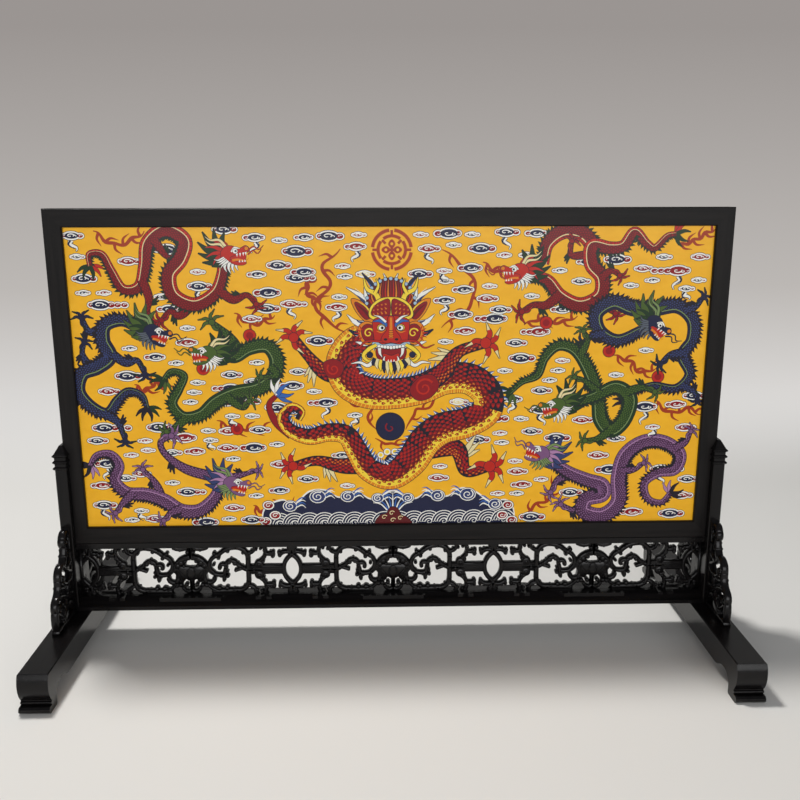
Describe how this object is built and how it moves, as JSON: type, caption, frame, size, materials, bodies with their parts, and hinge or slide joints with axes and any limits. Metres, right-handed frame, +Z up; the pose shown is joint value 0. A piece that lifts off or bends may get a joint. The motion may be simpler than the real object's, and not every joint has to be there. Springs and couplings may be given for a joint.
{
  "type": "table screen",
  "caption": "Porcelain picture panel in a mitred dark wood frame that lifts out of a stand with grooved posts, scroll feet, carved spandrels and an openwork apron.",
  "frame": {"origin": "Middle of the underside of the pads, on the surface that the screen stands on, halfway between the feet and halfway between front and back", "axes": "+X to the right seen from the front, -Y the painted front, +Z up"},
  "size_m": [0.6198, 0.2678, 0.405],
  "materials": {
    "frame_wood": "satin black lacquer over close-grained hardwood",
    "stand_wood": "semi-gloss black lacquer over close-grained hardwood",
    "porcelain": "glossy yellow glaze with enamel painting",
    "board_wood": "black stained plywood",
    "bamboo": "bare bamboo and hardwood pegs"
  },
  "bodies": {
    "stand": {"left_foot": "stand_wood", "right_foot": "stand_wood", "left_post": "stand_wood", "right_post": "stand_wood", "lower_rail": "stand_wood", "apron_panel": "stand_wood", "upper_rail": "stand_wood", "spandrel_front_left": "stand_wood", "spandrel_front_right": "stand_wood", "spandrel_rear_left": "stand_wood", "spandrel_rear_right": "stand_wood", "loose_tenons": "bamboo"},
    "screen": {"frame_top_rail": "frame_wood", "frame_bottom_rail": "frame_wood", "frame_left_stile": "frame_wood", "frame_right_stile": "frame_wood", "corner_keys": "frame_wood", "porcelain_panel": "porcelain", "back_board": "board_wood", "back_bead_top": "frame_wood", "back_bead_bottom": "frame_wood", "back_bead_left": "frame_wood", "back_bead_right": "frame_wood", "back_pins": "bamboo"}
  },
  "joints": [
    {"name": "screen_lift", "type": "slide", "parent": "stand", "child": "screen", "axis": [0, 0, 1], "range_m": [0, 0.105]}
  ]
}
